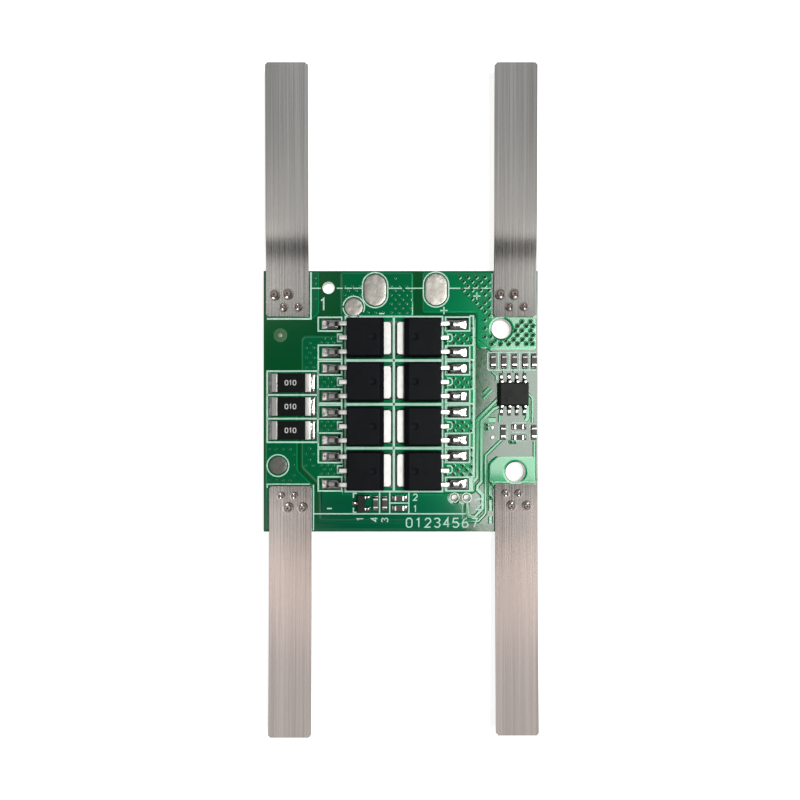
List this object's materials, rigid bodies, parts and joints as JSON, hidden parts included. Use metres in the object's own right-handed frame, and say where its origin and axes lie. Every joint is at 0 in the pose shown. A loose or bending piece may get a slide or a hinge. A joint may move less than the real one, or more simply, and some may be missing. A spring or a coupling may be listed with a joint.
{
  "type": "battery management board",
  "caption": "Flat green circuit board with power transistors, shunt resistors and a controller, and nickel strips at its corners for welding to cells.",
  "frame": {"origin": "centre of the circuit board's underside", "axes": "+Y along the nickel strips, +Z out of the component side, +X across the transistor columns"},
  "size_m": [0.045, 0.1094, 0.004],
  "materials": {
    "solder_mask": "glossy green solder mask over copper, with pale printed lines",
    "nickel": "rolled nickel, fine lines along the strip, spot weld dents",
    "tinned_copper": "satin tin plating",
    "solder": "bright, slightly grainy solder",
    "moulding_compound": "fine matte black epoxy",
    "resistor_coating": "semi-matte black coating",
    "chip_coating": "smooth dark coating"
  },
  "bodies": {
    "root": {"circuit_board": "solder_mask", "plated_holes": "solder", "bare_lands": "solder", "strip_lands": "solder", "weld_plate_upper_left": "nickel", "nickel_strip_upper_left": "nickel", "weld_plate_upper_right": "nickel", "nickel_strip_upper_right": "nickel", "weld_plate_lower_left": "nickel", "nickel_strip_lower_left": "nickel", "weld_plate_lower_right": "nickel", "nickel_strip_lower_right": "nickel", "mosfet_leadframe_1": "tinned_copper", "mosfet_body_1": "moulding_compound", "mosfet_leadframe_2": "tinned_copper", "mosfet_body_2": "moulding_compound", "mosfet_leadframe_3": "tinned_copper", "mosfet_body_3": "moulding_compound", "mosfet_leadframe_4": "tinned_copper", "mosfet_body_4": "moulding_compound", "mosfet_leadframe_5": "tinned_copper", "mosfet_body_5": "moulding_compound", "mosfet_leadframe_6": "tinned_copper", "mosfet_body_6": "moulding_compound", "mosfet_leadframe_7": "tinned_copper", "mosfet_body_7": "moulding_compound", "mosfet_leadframe_8": "tinned_copper", "mosfet_body_8": "moulding_compound", "mosfet_solder": "solder", "shunt_body_1": "resistor_coating", "shunt_terminals_1": "tinned_copper", "shunt_body_2": "resistor_coating", "shunt_terminals_2": "tinned_copper", "shunt_body_3": "resistor_coating", "shunt_terminals_3": "tinned_copper", "shunt_solder": "solder", "controller_pins": "tinned_copper", "controller_body": "moulding_compound", "transistor_pins": "tinned_copper", "transistor_body": "moulding_compound", "chip_top_1": "chip_coating", "chip_top_2": "chip_coating", "chip_top_3": "chip_coating", "chip_top_4": "chip_coating", "chip_top_5": "chip_coating", "chip_terminals_top": "tinned_copper", "chip_middle_1": "chip_coating", "chip_middle_2": "chip_coating", "chip_middle_3": "chip_coating", "chip_middle_4": "chip_coating", "chip_terminals_middle": "tinned_copper", "chip_bottom_1": "chip_coating", "chip_bottom_2": "chip_coating", "chip_bottom_3": "chip_coating", "chip_bottom_4": "chip_coating", "chip_terminals_bottom": "tinned_copper", "small_part_solder": "solder"}
  },
  "joints": []
}
